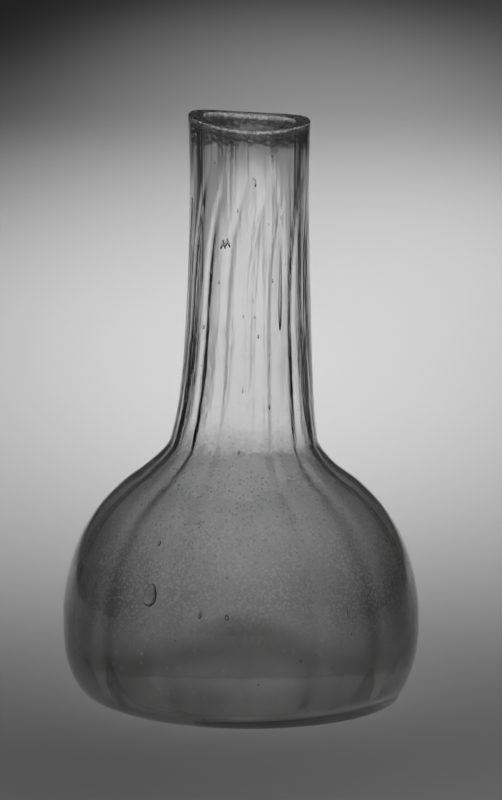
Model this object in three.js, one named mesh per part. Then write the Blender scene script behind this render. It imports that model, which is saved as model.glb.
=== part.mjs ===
// Blown glass carafe: one piece of clear glass, hollow and open at the mouth, in millimetres, +Z up.
// The body stands on a narrow flat ring round a deep kick, and the neck is ribbed on the inside.

import * as THREE from 'three';

// Whole vessel
const height = 218.5;

// Body, seen from the side
const bodyRadius = 65.7;
const bodyWidestHeight = 29;
const bellyRadius = 54;
const bellyHeight = 69;
const shoulderRadius = 35.4;
const shoulderHeight = 86.5;

// Neck, seen from the side
const neckRootRadius = 26.3;
const neckRootHeight = 101;
const neckMiddleRadius = 22.8;
const neckMiddleHeight = 147;
const neckWaistRadius = 21.8;
const neckWaistHeight = 188;
const neckLean = 3.1;
const neckLeanLength = 26;

// Mouth: thickened inwards, highest at the left, and lower at its front and back than at its sides
const rimRadius = 22.3;
const rimWall = 5.6;
const rimCorner = 1;
const rimLipHeight = 1;
const rimFrontSag = 1.8;
const rimBackSag = 2.1;
const rimTilt = 2.4;
const rimReach = 16;

// Foot and kick
const footRadius = 51;
const footRingWidth = 4;
const footCornerRadius = 61;
const footCornerHeight = 6;
const footShift = 4.5;
const footShiftHeight = 1.8;
const kickHeight = 24;
const kickWall = 3.8;
const kickRoundness = 1.3;

// Wall
const heelWall = 5.5;
const bodyWall = 2.4;
const shoulderWall = 3;
const neckWall = 4.8;

// Ribs inside: narrow ridges, shallow in the neck and on the body, and deeper at the heel
const ribCount = 14;
const ribSharpness = 4;
const neckRibDepth = 0.45;
const bodyRibDepth = 0.5;
const heelRibDepth = 0.9;
const ribTopHeight = 205;
const ribTopFade = 45;
const ribTurn = THREE.MathUtils.degToRad(15);
const ribTurnStart = 130;
const segmentsPerRib = 4;

const outsideRows = 34;
const kickRows = 7;
const rimRows = 2;

const { lerp, smoothstep } = THREE.MathUtils;

// Outside from the foot to the rim: a smooth curve through stations of [radius, height], placed
// between the named ones by shares of their distance.
function outsideCurve() {
  const between = (start, end, radiusShare, heightShare) =>
    [lerp(start[0], end[0], radiusShare), lerp(start[1], end[1], heightShare)];
  const foot = [footRadius, 0];
  const corner = [footCornerRadius, footCornerHeight];
  const widest = [bodyRadius, bodyWidestHeight];
  const belly = [bellyRadius, bellyHeight];
  const shoulder = [shoulderRadius, shoulderHeight];
  const neckRoot = [neckRootRadius, neckRootHeight];
  const neckMiddle = [neckMiddleRadius, neckMiddleHeight];
  const stations = [
    foot,
    between(foot, corner, 0.55, 0.2),
    corner,
    between(corner, widest, 0.78, 0.43),
    widest,
    between(widest, belly, 0.07, 0.3),
    between(widest, belly, 0.41, 0.68),
    belly,
    between(belly, shoulder, 0.49, 0.57),
    shoulder,
    between(shoulder, neckRoot, 0.76, 0.52),
    neckRoot,
    between(neckRoot, neckMiddle, 0.57, 0.36),
    neckMiddle,
    [neckWaistRadius, neckWaistHeight],
    [rimRadius, height - rimCorner],
  ];
  return new THREE.SplineCurve(stations.map(([radius, z]) => new THREE.Vector2(radius, z)));
}

// Wall thickness at a height: thick at the heel, thin on the body, thick again in the neck, and
// growing ever faster from the neck's waist to the rim.
function wallAt(z) {
  const heel = (heelWall - bodyWall) * (1 - smoothstep(z, 0, bodyWidestHeight));
  const shoulder = (shoulderWall - bodyWall) * smoothstep(z, bellyHeight, shoulderHeight);
  const neck = (neckWall - shoulderWall) * smoothstep(z, shoulderHeight, neckMiddleHeight);
  const share = Math.max(z - neckWaistHeight, 0) / (height - neckWaistHeight);
  return bodyWall + heel + shoulder + neck + (rimWall - neckWall) * share ** 3;
}

// Depth of the ribs inside at a height.
function ribDepthAt(z) {
  const heel = (heelRibDepth - bodyRibDepth) * (1 - smoothstep(z, heelWall, bodyWidestHeight));
  const neck = (neckRibDepth - bodyRibDepth) * smoothstep(z, bellyHeight, neckRootHeight);
  const fade = 1 - smoothstep(z, ribTopHeight - ribTopFade, ribTopHeight);
  return (bodyRibDepth + heel + neck) * fade;
}

// Half-section of the glass, as rows of { radius, z, rib }: out under the kick, up the outside, over
// the rim, down the inside and in over the kick.
function halfSection() {
  const outside = outsideCurve().getSpacedPoints(outsideRows);
  const inside = outside.map((point, row) => {
    const before = outside[Math.max(row - 1, 0)];
    const after = outside[Math.min(row + 1, outsideRows)];
    const along = new THREE.Vector2().subVectors(after, before).normalize();
    const wall = wallAt(point.y);
    return new THREE.Vector2(point.x - along.y * wall, point.y + along.x * wall);
  });

  const domeRadius = footRadius - footRingWidth;
  const shares = Array.from({ length: kickRows }, (_, row) => row / kickRows);
  const dome = (share) => kickHeight * (1 - share ** 2) ** kickRoundness;
  const under = [...shares, 1].map((share) => ({ radius: domeRadius * share, z: dome(share), rib: 0 }));
  const over = shares.map((share) => {
    const z = dome(share) + lerp(kickWall, heelWall, share ** 2);
    return { radius: domeRadius * share, z, rib: share ** 4 };
  });

  const ridge = rimRadius - rimCorner;
  const lipWidth = wallAt(height - rimLipHeight) - rimCorner;
  const turns = Array.from({ length: rimRows }, (_, row) => Math.PI / 2 * (row + 1) / rimRows);
  const corner = turns.map((turn) => ({
    radius: ridge + rimCorner * Math.cos(turn),
    z: height - rimCorner + rimCorner * Math.sin(turn),
    rib: 0,
  }));
  const lip = turns.map((turn) => ({
    radius: ridge - lipWidth * Math.sin(turn),
    z: height - rimLipHeight + rimLipHeight * Math.cos(turn),
    rib: 1,
  }));

  return [
    ...under,
    ...outside.map((point) => ({ radius: point.x, z: point.y, rib: 0 })),
    ...corner,
    ...lip,
    ...inside.reverse().filter((point) => point.y < height - 3 * rimLipHeight)
      .map((point) => ({ radius: point.x, z: point.y, rib: 1 })),
    ...over.reverse(),
  ];
}

// Turn of the ribs about the axis at a height: straight below, then turning ever faster.
function ribTurnAt(z) {
  return ribTurn * (Math.max(z - ribTurnStart, 0) / (neckWaistHeight - ribTurnStart)) ** 3;
}

// Sideways shift of the glass at a height: the neck leans to +X, and so does the very foot.
function axisShift(z) {
  const neck = neckLean * (1 - Math.exp(-Math.max(z - shoulderHeight, 0) / neckLeanLength));
  return neck + footShift * Math.exp(-z / footShiftHeight);
}

// Turned body, with the ribs pressed into its inside and the mouth and the axis made uneven.
function carafeGeometry() {
  const rows = halfSection();
  const outline = rows.map((row) => new THREE.Vector2(row.radius, row.z));
  const geometry = new THREE.LatheGeometry(outline, ribCount * segmentsPerRib);
  geometry.rotateX(Math.PI / 2);

  const positions = geometry.attributes.position;
  const point = new THREE.Vector3();
  for (let index = 0; index < positions.count; index += 1) {
    const { radius, rib } = rows[index % rows.length];
    point.fromBufferAttribute(positions, index);
    const angle = Math.atan2(point.x, -point.y);
    const across = ribCount * (angle - ribTurnAt(point.z));
    const ridge = ((1 + Math.cos(across)) / 2) ** ribSharpness;
    const ribbed = radius - rib * ribDepthAt(point.z) * ridge;
    const rimSag = Math.cos(angle) > 0 ? rimFrontSag : rimBackSag;
    const sag = rimSag * Math.cos(angle) ** 2 + rimTilt * (1 + Math.sin(angle)) / 2;
    const reached = smoothstep(point.z, height - rimReach, height);
    positions.setXYZ(
      index,
      ribbed * Math.sin(angle) + axisShift(point.z),
      -ribbed * Math.cos(angle),
      point.z - sag * reached,
    );
  }
  geometry.computeVertexNormals();
  return geometry;
}

const glass = new THREE.MeshStandardMaterial({
  color: 0xc4c8c6,
  roughness: 0.06,
  metalness: 0,
  transparent: true,
  opacity: 0.45,
});

const carafe = new THREE.Mesh(carafeGeometry(), glass);
carafe.name = 'carafe';

const vessel = new THREE.Group();
vessel.add(carafe);

export default vessel;
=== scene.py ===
"""Looks of a blown glass carafe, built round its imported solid: the vessel in clear, weathered glass with
the bubbles sealed in its wall, on a plain pale floor. Metres, +Z up, seen from -Y."""

import bpy
import numpy as np
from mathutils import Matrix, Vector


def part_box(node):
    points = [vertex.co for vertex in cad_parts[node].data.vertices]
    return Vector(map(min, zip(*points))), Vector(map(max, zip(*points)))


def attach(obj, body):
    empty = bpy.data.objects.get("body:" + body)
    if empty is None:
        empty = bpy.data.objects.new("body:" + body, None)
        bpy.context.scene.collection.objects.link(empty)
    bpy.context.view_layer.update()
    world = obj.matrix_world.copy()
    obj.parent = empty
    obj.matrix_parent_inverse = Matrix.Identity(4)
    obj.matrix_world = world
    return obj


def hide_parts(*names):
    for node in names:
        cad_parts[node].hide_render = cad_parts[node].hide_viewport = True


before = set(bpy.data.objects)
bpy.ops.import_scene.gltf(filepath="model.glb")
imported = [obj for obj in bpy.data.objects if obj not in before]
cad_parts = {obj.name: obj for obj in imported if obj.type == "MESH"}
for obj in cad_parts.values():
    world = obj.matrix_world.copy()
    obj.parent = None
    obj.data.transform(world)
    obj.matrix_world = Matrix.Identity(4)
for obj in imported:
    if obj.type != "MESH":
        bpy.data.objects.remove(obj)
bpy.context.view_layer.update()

# Camera
# A long lens about three metres in front, looking down at the vessel as the photograph does.
solid_low, solid_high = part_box("carafe")
real_height = 218.5
mm = (solid_high.z - solid_low.z) / real_height
photo_height = 800
pixels_per_mm = 2.721
axis_left_of_centre = 10.0
view_distance = 3000 * mm
view_drop = np.radians(11.6)
aim_height = 111.5 * mm

camera_data = bpy.data.cameras.new("camera")
camera_data.sensor_width = 36
camera_data.lens = camera_data.sensor_width * pixels_per_mm / mm * view_distance / photo_height
camera_data.shift_x = axis_left_of_centre / photo_height
camera_data.clip_end = 50
camera = bpy.data.objects.new("camera", camera_data)
camera.location = (0, -view_distance * np.cos(view_drop), aim_height + view_distance * np.sin(view_drop))
camera.rotation_euler = (np.pi / 2 - view_drop, 0, 0)
bpy.context.scene.collection.objects.link(camera)
bpy.context.scene.camera = camera

# Vessel
# One gather of glass blown into a ribbed mould, drawn up into a long neck and swung out into a squat
# body. The outside came out smooth and the ribs stayed inside. The base is pushed up into a kick, so
# it stands on a narrow ring. The rim is fire-polished, uneven and thickened inwards.
widest_height = 29 * mm
foot_radius = 51 * mm
foot_ring_width = 4 * mm
rim_radius = 22.3 * mm
rim_wall = 5.6 * mm
rim_corner = 1 * mm
rim_lip_height = 1 * mm
rim_front_sag = 1.8 * mm
rim_back_sag = 2.1 * mm
rim_tilt = 2.4 * mm
rim_reach = 16 * mm
kick_height = 24 * mm
kick_wall = 3.8 * mm
kick_roundness = 1.3
heel_wall = 5.5 * mm
body_wall = 2.4 * mm
shoulder_wall = 3 * mm
neck_wall = 4.8 * mm
belly_height = 69 * mm
shoulder_height = 86.5 * mm
neck_root_height = 101 * mm
neck_middle_height = 147 * mm
neck_waist_height = 188 * mm
neck_lean = 3.1 * mm
neck_lean_length = 26 * mm
foot_shift = 4.5 * mm
foot_shift_height = 1.8 * mm
vessel_height = real_height * mm

rib_count = 14
columns_per_rib = 14
rib_sharpness = 4
neck_rib_depth = 0.45 * mm
body_rib_depth = 0.5 * mm
heel_rib_depth = 0.9 * mm
rib_top_height = 205 * mm
rib_top_fade = 45 * mm
rib_turn = np.radians(15)
rib_turn_start = 130 * mm

outside_stations = mm * np.array([
    (51, 0), (56.5, 1.2), (61, 6), (64.7, 15.9), (65.7, 29), (64.9, 41), (60.9, 56.2), (54, 69),
    (44.9, 79), (35.4, 86.5), (28.5, 94), (26.3, 101), (24.3, 117.6), (22.8, 147), (21.8, 188),
    (22.3, 217.5),
])


def ease(value, start, end):
    """Smooth step: 0 up to start, 1 from end, and 3t^2 - 2t^3 between them."""
    t = np.clip((value - start) / (end - start), 0, 1)
    return t * t * (3 - 2 * t)


def smooth_curve(stations, count):
    """Curve through the stations: on each span the cubic whose slope at a station is half the step
    between its two neighbours. Gives count points, evenly spaced along its length."""
    fine_count = 6000
    padded = np.vstack([stations[:1], stations, stations[-1:]])
    place = np.linspace(0, len(stations) - 1, fine_count)
    span = np.minimum(place.astype(int), len(stations) - 2)
    t = (place - span)[:, None]
    before, start, end, after = (padded[span + step] for step in range(4))
    slope_start = (end - before) / 2
    slope_end = (after - start) / 2
    curve = (2 * start - 2 * end + slope_start + slope_end) * t ** 3
    curve += (3 * end - 3 * start - 2 * slope_start - slope_end) * t ** 2
    curve += slope_start * t + start
    length = np.concatenate([[0], np.cumsum(np.hypot(*np.diff(curve, axis=0).T))])
    even = np.linspace(0, length[-1], count)
    return np.stack([np.interp(even, length, curve[:, axis]) for axis in (0, 1)], axis=1)


def wall_at(z):
    """Wall thickness: body_wall, thicker by smooth steps towards the heel, shoulder and neck, and
    growing with the cube of the height from the waist of the neck to the rim."""
    heel = (heel_wall - body_wall) * (1 - ease(z, 0, widest_height))
    shoulder = (shoulder_wall - body_wall) * ease(z, belly_height, shoulder_height)
    neck = (neck_wall - shoulder_wall) * ease(z, shoulder_height, neck_middle_height)
    share = np.clip(z - neck_waist_height, 0, None) / (vessel_height - neck_waist_height)
    return body_wall + heel + shoulder + neck + (rim_wall - neck_wall) * share ** 3


def rib_depth_at(angle, z):
    """Rib depth inside: body_rib_depth, deeper by smooth steps at the heel and in the neck, fading out
    under the rim, and uneven round the vessel by slow sine waves of the angle."""
    heel = (heel_rib_depth - body_rib_depth) * (1 - ease(z, heel_wall, widest_height))
    neck = (neck_rib_depth - body_rib_depth) * ease(z, belly_height, neck_root_height)
    fade = 1 - ease(z, rib_top_height - rib_top_fade, rib_top_height)
    uneven = 1 + 0.25 * np.cos(2 * angle + 0.4) + 0.25 * np.sin(3 * angle - 0.8)
    uneven = uneven + 0.15 * np.sin(5 * angle)
    return (body_rib_depth + heel + neck) * fade * uneven


def rib_turn_at(z):
    """Turn of the ribs about the axis: nothing below rib_turn_start, then with the cube of the height."""
    return rib_turn * (np.clip(z - rib_turn_start, 0, None) / (neck_waist_height - rib_turn_start)) ** 3


def bent(radius, angle, height):
    """Place of a point at a radius, angle and height: turned about the axis, shifted sideways where the
    neck leans and at the very foot, and lowered near the mouth by the rim's sag and tilt."""
    neck = neck_lean * (1 - np.exp(-np.clip(height - shoulder_height, 0, None) / neck_lean_length))
    shift = neck + foot_shift * np.exp(-height / foot_shift_height)
    sag = np.where(np.cos(angle) > 0, rim_front_sag, rim_back_sag) * np.cos(angle) ** 2
    sag = sag + rim_tilt * (1 + np.sin(angle)) / 2
    lowered = height - sag * ease(height, vessel_height - rim_reach, vessel_height)
    return np.stack([radius * np.sin(angle) + shift, -radius * np.cos(angle), lowered], axis=-1)


def half_section(outside, kick_count, rim_count):
    """Rows of (radius, height, ribbed, inner skin), the last two from 0 to 1: out under the kick, up the
    outside, over the rim as a quarter circle and a wider quarter ellipse, down the inside at the wall's
    thickness along the normal, and in over the kick."""
    along = np.gradient(outside, axis=0)
    along /= np.linalg.norm(along, axis=1, keepdims=True)
    inside = outside + wall_at(outside[:, 1:]) * np.stack([-along[:, 1], along[:, 0]], axis=1)
    inside = inside[inside[:, 1] < vessel_height - 2 * rim_lip_height]

    dome_radius = foot_radius - foot_ring_width
    share = np.linspace(0, 1, kick_count)
    dome = kick_height * (1 - share ** 2) ** kick_roundness
    under = np.stack([dome_radius * share, dome, 0 * share, 0 * share], axis=1)
    over_height = dome + kick_wall + (heel_wall - kick_wall) * share ** 2
    over = np.stack([dome_radius * share, over_height, share ** 4, 0 * share + 1], axis=1)

    rise = np.linspace(0, np.pi / 2, rim_count + 1)[1:]
    ridge = rim_radius - rim_corner
    lip_width = wall_at(vessel_height - rim_lip_height) - rim_corner
    corner_radius = ridge + rim_corner * np.cos(rise)
    corner_height = vessel_height - rim_corner + rim_corner * np.sin(rise)
    lip_radius = ridge - lip_width * np.sin(rise)
    lip_height = vessel_height - rim_lip_height + rim_lip_height * np.cos(rise)
    corner = np.stack([corner_radius, corner_height, 0 * rise, 0 * rise], axis=1)
    lip = np.stack([lip_radius, lip_height, 0 * rise + 1, 0 * rise + 1], axis=1)
    outside = np.column_stack([outside, np.zeros((len(outside), 2))])
    inside = np.column_stack([inside, np.ones((len(inside), 2))])
    return np.vstack([under, outside, corner, lip, inside[::-1], over[:-1][::-1]])


def turned_surface(rows, columns):
    """Points of the vessel: each row of the half-section goes once round the axis, at its radius less
    the ribs where it is inside: narrow rounded ridges, a power of the raised cosine."""
    radius, height, ribbed = (column[:, None] for column in rows.T[:3])
    angle = np.linspace(-np.pi, np.pi, columns + 1)[:-1][None, :]
    ridge = (0.5 + 0.5 * np.cos(rib_count * (angle - rib_turn_at(height)))) ** rib_sharpness
    return bent(radius - ribbed * rib_depth_at(angle, height) * ridge, angle, height + 0 * angle)


def closed_faces(rows, columns, first=0):
    """Faces of a turned surface whose first and last rows are single points: a fan at each end and
    quads between, with the seam closed. Vertices count up from first."""
    ring = first + 1 + np.arange((rows - 2) * columns).reshape(rows - 2, columns)
    onward = np.roll(ring, -1, axis=1)
    quads = np.stack([ring[:-1], onward[:-1], onward[1:], ring[1:]], axis=2).reshape(-1, 4)
    start = np.full(columns, first)
    end = np.full(columns, first + 1 + (rows - 2) * columns)
    fans = np.vstack([
        np.stack([start, onward[0], ring[0]], axis=1),
        np.stack([ring[-1], onward[-1], end], axis=1),
    ])
    return quads.tolist() + fans.tolist()


def pole_to_pole(points):
    """Vertices of a turned surface, with its first and last rows cut down to one point each."""
    return np.vstack([points[0, :1], points[1:-1].reshape(-1, 3), points[-1, :1]])


outside_curve = smooth_curve(outside_stations, count=180)
vessel_rows = half_section(outside_curve, kick_count=30, rim_count=8)
vessel_columns = rib_count * columns_per_rib
vertices = [pole_to_pole(turned_surface(vessel_rows, vessel_columns))]
faces = closed_faces(len(vessel_rows), vessel_columns)
inner_skin = [np.concatenate([
    vessel_rows[:1, 3], np.repeat(vessel_rows[1:-1, 3], vessel_columns), vessel_rows[-1:, 3],
])]

# Bubbles and seeds
# Air caught in the glass, drawn out with it as the neck was pulled and flattened in the wall. They are
# hollows in the same mesh, each a stretched ball between the outer and inner skins.


def hollow(angle, height, width, length, thickness, slant, drop, rings, sides):
    """Points of one hollow in the wall: a ball turned pole to pole up the wall, stretched to its width,
    length and thickness, wider below by its share drop, and leaning by slant across for each unit up.
    Across runs round the wall, up runs along it, and depth runs inwards about the wall's middle. It
    takes up 0.7 of the wall's thickness at most."""
    polar = np.linspace(np.pi, 0, rings + 1)[:, None]
    turn = np.linspace(0, 2 * np.pi, sides + 1)[:-1][None, :]
    full = np.sin(polar) * (1 - drop * np.cos(polar))
    up = length / 2 * np.cos(polar) + 0 * turn
    across = width / 2 * full * np.cos(turn) + slant * up
    wall = wall_at(height)
    depth = wall / 2 + np.minimum(thickness, 0.7 * wall) / 2 * full * np.sin(turn)
    radius = np.interp(height, outside_curve[:, 1], outside_curve[:, 0])
    along = np.gradient(outside_curve, axis=0)
    along /= np.linalg.norm(along, axis=1, keepdims=True)
    out, rise = (np.interp(height + up, outside_curve[:, 1], along[:, axis]) for axis in (0, 1))
    skin = np.interp(height + up * rise, outside_curve[:, 1], outside_curve[:, 0])
    return bent(skin - depth * rise, angle + across / radius, height + up * rise + depth * out)


def air_row(angle, height, width, length, thickness, slant=0.0, drop=0.0):
    """What hollow takes for one bubble, from an angle in degrees and sizes in millimetres."""
    return np.radians(angle), height * mm, width * mm, length * mm, thickness * mm, slant, drop


# The first three are the large bubble, the thin one beside it and the long air line in the neck, and
# have a finer mesh than the rest. Four short lines side by side make the zigzag mark in the neck.
large_count = 3
large_mesh, small_mesh = (24, 28), (8, 10)
air = [air_row(*row) for row in (
    (-32.0, 50.3, 5.3, 8.6, 0.9, 0.05, 0.2),
    (-58.5, 48.8, 0.9, 6.2, 0.8, 0.0, 0.1),
    (33.0, 156.5, 1.3, 31.0, 1.8, 0.02, 0.45),
    (-33.3, 68.0, 1.3, 2.2, 0.9),
    (69.0, 63.5, 1.2, 2.0, 0.9),
    (-13.5, 44.8, 1.1, 2.6, 0.8, 0.1, 0.3),
    (-4.7, 44.4, 1.4, 2.2, 0.8, -0.2, 0.3),
    (37.5, 43.0, 0.7, 3.8, 0.6, 0.05),
    (19.6, 27.4, 1.5, 1.0, 0.9),
    (6.3, 195.9, 0.7, 3.0, 0.6),
    (-28.6, 173.0, 1.0, 3.6, 1.3, 0.35),
    (-26.2, 172.8, 0.9, 2.8, 1.3, -0.35),
    (-23.8, 173.8, 1.0, 3.4, 1.3, 0.3),
    (-21.4, 173.4, 0.9, 2.8, 1.3, -0.35),
    (-4.0, 120.0, 0.4, 2.6, 0.4),
    (24.0, 206.0, 0.6, 1.0, 0.5),
    (-38.0, 203.0, 0.5, 1.6, 0.5),
)]

# Seeds are scattered at random, about half of them in the neck, where they are drawn out longer
chance = np.random.default_rng(14)
seed_count = 70
neck_from, neck_to = 95, 208
body_from, body_to = 8, 88
in_neck = chance.random(seed_count) < 0.5
seed_heights = np.where(in_neck, chance.uniform(neck_from, neck_to, seed_count),
                        chance.uniform(body_from, body_to, seed_count))
seed_angles = chance.uniform(-180, 180, seed_count)
seed_sizes = chance.uniform(0.3, 0.75, seed_count)
seed_lengths = seed_sizes * np.where(in_neck, 2.4, 1.2)
for seed in zip(seed_angles, seed_heights, seed_sizes, seed_lengths, seed_sizes):
    air.append(air_row(*seed))

for row_index, row in enumerate(air):
    rings, sides = large_mesh if row_index < large_count else small_mesh
    points = hollow(*row, rings, sides)
    first = sum(len(block) for block in vertices)
    vertices.append(pole_to_pole(points))
    faces += closed_faces(rings + 1, sides, first)
    inner_skin.append(np.zeros(len(vertices[-1])))

carafe_mesh = bpy.data.meshes.new("blown_carafe")
carafe_mesh.from_pydata(np.vstack(vertices), [], faces)
carafe_mesh.shade_smooth()
skin_values = carafe_mesh.attributes.new("inner_skin", "FLOAT", "POINT")
skin_values.data.foreach_set("value", np.concatenate(inner_skin).astype(np.float32))
carafe = bpy.data.objects.new("blown_carafe", carafe_mesh)
bpy.context.scene.collection.objects.link(carafe)
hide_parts("carafe")
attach(carafe, "root")
# A shadow ray takes clear glass for opaque, so the vessel throws no shadow
carafe.visible_shadow = False

# Glass
# Clear water-white glass. A dried, speckled film of lime dulls the inside of the body and ends in a
# tide line near the base. The neck has fine drawn streaks inside, the mouth is dimpled, and the lip is
# worn and a little soiled.


class Wire:
    """An output socket of a node tree. Arithmetic on it adds Math nodes, and node adds any other."""

    def __init__(self, tree, socket=None):
        self.tree = tree
        self.socket = socket

    def node(self, kind, settings=None, sockets=None, output=0):
        """Add a node: its settings first, then a value or a Wire for each of its sockets by name or
        number. Gives the Wire of one output."""
        made = self.tree.nodes.new(kind)
        for name, setting in (settings or {}).items():
            setattr(made, name, setting)
        for name, value in (sockets or {}).items():
            if isinstance(value, Wire):
                self.tree.links.new(value.socket, made.inputs[name])
            else:
                made.inputs[name].default_value = value
        return Wire(self.tree, made.outputs[output])

    def math(self, operation, *values):
        return self.node("ShaderNodeMath", {"operation": operation}, dict(enumerate(values)))

    def __add__(self, other):
        return self.math("ADD", self, other)

    def __sub__(self, other):
        return self.math("SUBTRACT", self, other)

    def __mul__(self, other):
        return self.math("MULTIPLY", self, other)

    def __truediv__(self, other):
        return self.math("DIVIDE", self, other)

    def __rsub__(self, other):
        return self.math("SUBTRACT", other, self)

    __radd__ = __add__
    __rmul__ = __mul__

    def eased(self, start, end):
        """Smooth step from 0 at start to 1 at end."""
        return self.node("ShaderNodeMapRange", {"interpolation_type": "SMOOTHSTEP"},
                         {"Value": self, "From Min": start, "From Max": end})

    def noise(self, grain, detail=2.0, stretch=(1, 1, 1)):
        """Noise from 0 to 1 on this vector, its blobs about one grain across and stretched by axis."""
        scale = [1 / (grain * share) for share in stretch]
        spread = self.node("ShaderNodeMapping", {}, {"Vector": self, "Scale": scale})
        return self.node("ShaderNodeTexNoise", {}, {"Vector": spread, "Scale": 1.0, "Detail": detail})

    def cells(self, grain):
        """Points scattered about one grain apart: the distance to the nearest, in grains, and a number
        from 0 to 1 that goes with it."""
        distance = self.node("ShaderNodeTexVoronoi", {}, {"Vector": self, "Scale": 1 / grain}, "Distance")
        colour = Wire(self.tree, distance.socket.node.outputs["Color"])
        return distance, self.node("ShaderNodeSeparateColor", {}, {0: colour})


glass = bpy.data.materials.new("glass")
glass.use_nodes = True
glass_tree = glass.node_tree
clear = glass_tree.nodes["Principled BSDF"]
clear.inputs["Transmission Weight"].default_value = 1
clear.inputs["IOR"].default_value = 1.5

place = Wire(glass_tree).node("ShaderNodeTexCoord", output="Object")
side = place.node("ShaderNodeSeparateXYZ", {}, {0: place}, "X")
front = Wire(glass_tree, side.socket.node.outputs["Y"])
level = Wire(glass_tree, side.socket.node.outputs["Z"])
inner = place.node("ShaderNodeAttribute", {"attribute_name": "inner_skin"}, output="Fac")

# Parts of the vessel, each a mask from 0 to 1: the body up to a ragged edge at the root of the neck,
# the mouth, and the lip, which follows the rim's tilt and sag
body = 1 - (level + place.noise(10 * mm, 4) * (36 * mm)).eased(97 * mm, 129 * mm)
mouth = level.eased(vessel_height - 14 * mm, vessel_height - 5 * mm)
along_rim = level + side * (rim_tilt / 2 / rim_radius) + front * front * (rim_front_sag / rim_radius ** 2)
lip = (along_rim + rim_tilt / 2).eased(vessel_height - 4 * mm, vessel_height - 2 * mm)

# Tide line: higher at the front and back than at the sides, and uneven; the film is denser low in the
# heel, as painted shade over its inner corner
tide_height = 17.5 * mm
front_or_side = (front * front - side * side) / (front * front + side * side + 1e-6)
tide = front_or_side * (3 * mm) + tide_height + place.noise(9 * mm) * (3 * mm)
above_tide = (level - tide).eased(-0.2 * mm, 0.8 * mm)
tide_line = (level - tide).eased(-0.9 * mm, 0) * (1 - above_tide)
# Painted shade: more film low in the heel, which darkens its inner corner
painted_heel_shade = 1 - (level + place.noise(4 * mm) * (3 * mm)).eased(7 * mm, 12 * mm)

# Marks in the film: small bare dots above the kick, dark specks up the shoulder, and a few bare rings
cloud = place.noise(17 * mm, 3).eased(0.3, 0.7)
ragged = place.noise(0.7 * mm, 4) * 1.6 - 0.8
dot, dot_chance = place.cells(0.9 * mm)
dots = (1 - (dot + ragged).eased(0.3, 0.7)) * dot_chance.eased(0.1, 0.7) * (cloud * 0.5 + 0.7)
dots = dots * level.eased(22 * mm, 50 * mm)
speck, speck_chance = place.cells(1.3 * mm)
specks = (1 - (speck + ragged).eased(0.16, 0.42)) * speck_chance.eased(0.3, 0.8)
specks = specks * level.eased(46 * mm, 78 * mm)
ring, ring_chance = place.cells(3.2 * mm)
bare_rings = ring.eased(0.1, 0.19) * (1 - ring.eased(0.19, 0.3)) * ring_chance.eased(0.7, 0.72)

# Cover of the film: thinner up the shoulder and in patches below the tide, and denser where it is seen
# edge-on through more of its depth; grime on the lip
film = inner * body * (above_tide * 0.25 + 0.75)
thinner = 1 - level.eased(46 * mm, 88 * mm) * 0.75
edge_on = place.node("ShaderNodeLayerWeight", {}, {"Blend": 0.75}, "Facing")
lime = film * thinner * (cloud * 0.1 + 0.2) * (1 - dots) * (1 - bare_rings * 0.8) * (edge_on * 3.7 + 1)
lime = lime * (1 - (1 - above_tide) * cloud * 0.7)
grime = place.noise(1.6 * mm, 4).eased(0.4, 0.6)
# The heel's share of the film is painted shade in its inner corner
lime = lime + film * (specks * 0.45 + tide_line * 0.3 + painted_heel_shade * 0.4) + lip * (grime * 0.35 + 0.15)

# The glass itself: dulled under the film and on the lip, and faintly grey in the body
neck_tint, body_tint = (1, 1, 1, 1), (0.97, 0.975, 0.972, 1)
roughness = film * ((1 - level.eased(30 * mm, 50 * mm)) * 0.08 + 0.3) + lip * 0.22
glass_tree.links.new(roughness.socket, clear.inputs["Roughness"])
tint = place.node("ShaderNodeMix", {"data_type": "RGBA"},
                  {"Factor": body, 6: neck_tint, 7: body_tint}, 2)
glass_tree.links.new(tint.socket, clear.inputs["Base Color"])

# Relief of the inside: long streaks up the neck, dimples at the mouth, and slow waves in the body
streaks = place.noise(1.6 * mm, 2, (1, 1, 30)) * (1 - body) * 0.19
dimples = place.noise(1.8 * mm, 3) * mouth * 0.1
waves = place.noise(16 * mm, 1) * body * 0.35
relief = place.node("ShaderNodeBump", {}, {
    "Height": inner * (streaks + dimples + waves), "Distance": 1 * mm,
})
glass_tree.links.new(relief.socket, clear.inputs["Normal"])

# The dried lime: a matt, chalky grey, mixed over the glass by its cover
thin_lime, thick_lime = (0.4, 0.4, 0.39, 1), (0.5, 0.5, 0.48, 1)
chalk = place.node("ShaderNodeBsdfPrincipled", {}, {"Roughness": 0.85}).socket.node
chalk_colour = place.node("ShaderNodeMix", {"data_type": "RGBA"},
                          {"Factor": cloud, 6: thin_lime, 7: thick_lime}, 2)
glass_tree.links.new(chalk_colour.socket, chalk.inputs["Base Color"])
dressed = place.node("ShaderNodeMixShader", {}, {
    "Fac": lime, 1: Wire(glass_tree, clear.outputs[0]), 2: Wire(glass_tree, chalk.outputs[0]),
})
glass_tree.links.new(dressed.socket, glass_tree.nodes["Material Output"].inputs["Surface"])
carafe_mesh.materials.append(glass)

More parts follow.
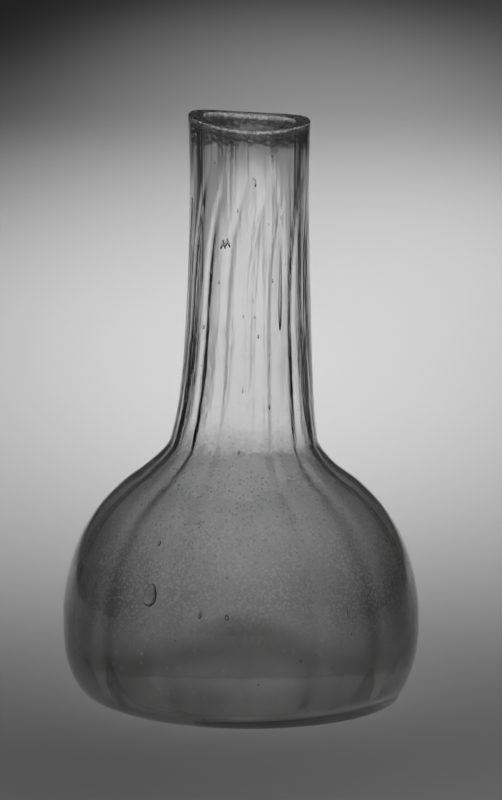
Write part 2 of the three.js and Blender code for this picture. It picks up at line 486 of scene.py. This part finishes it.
# Floor and light
# A wide sheet of pale paper, lit from above by soft lamps. Their pools add up to a bright one behind
# the vessel, which it stands against, and to weaker light under it, before it and at both sides.
floor_reach = 12
paper_white = 0.8
floor_mesh = bpy.data.meshes.new("floor")
floor_corners = [(-floor_reach, -floor_reach, 0), (floor_reach, -floor_reach, 0),
                 (floor_reach, floor_reach, 0), (-floor_reach, floor_reach, 0)]
floor_mesh.from_pydata(floor_corners, [], [(0, 1, 2, 3)])
floor = bpy.data.objects.new("floor", floor_mesh)
bpy.context.scene.collection.objects.link(floor)
paper = bpy.data.materials.new("paper")
paper.use_nodes = True
paper_surface = paper.node_tree.nodes["Principled BSDF"]
paper_surface.inputs["Base Color"].default_value = (paper_white, paper_white, paper_white, 1)
paper_surface.inputs["Roughness"].default_value = 0.9
floor_mesh.materials.append(paper)

# Each lamp lights an ellipse on the floor: its centre, its half-widths and its brightness there
lamp_height = 2.5
lamp_radius = 0.05
for name, across, behind, reach_across, reach_behind, brightness in (
    ("wide_lamp", 0.02, 0.65, 0.62, 0.68, 0.305),
    ("far_lamp", 0.02, 0.98, 0.20, 0.87, 0.225),
    ("far_left_lamp", -0.46, 1.25, 0.36, 0.55, 0.22),
    ("far_right_lamp", 0.49, 1.25, 0.34, 0.55, 0.2),
    ("left_lamp", -0.28, 0.38, 0.45, 0.77, 0.16),
    ("right_lamp", 0.17, 0.59, 0.32, 1.32, 0.144),
    ("under_lamp", 0.0, 0.01, 0.09, 0.09, 0.048),
    ("front_lamp", -0.3, -0.95, 1.6, 0.93, 0.45),
    ("far_front_lamp", 0.0, -2.6, 2.0, 1.7, 0.35),
    ("left_side_lamp", -0.64, 0.0, 0.42, 0.7, 0.14),
    ("right_side_lamp", 0.64, 0.0, 0.42, 0.7, 0.14),
    ("far_left_side_lamp", -2.1, 0.1, 1.5, 1.2, 0.3),
    ("far_right_side_lamp", 2.1, 0.1, 1.5, 1.2, 0.3),
):
    lamp_data = bpy.data.lights.new(name, "SPOT")
    lamp_data.energy = brightness * 4 * np.pi ** 2 * lamp_height ** 2 / paper_white
    lamp_data.spot_size = 2 * np.arctan(reach_across / lamp_height)
    lamp_data.spot_blend = 1
    lamp_data.shadow_soft_size = lamp_radius
    lamp = bpy.data.objects.new(name, lamp_data)
    lamp.location = (across, behind, lamp_height)
    lamp.scale = (1, reach_behind / reach_across, 1)
    lamp.visible_glossy = False
    lamp.visible_transmission = False
    bpy.context.scene.collection.objects.link(lamp)

world = bpy.data.worlds.new("studio")
bpy.context.scene.world = world
world.use_nodes = True
world.node_tree.nodes["Background"].inputs["Color"].default_value = (0.02, 0.02, 0.02, 1)
bpy.context.scene.view_settings.view_transform = "Standard"
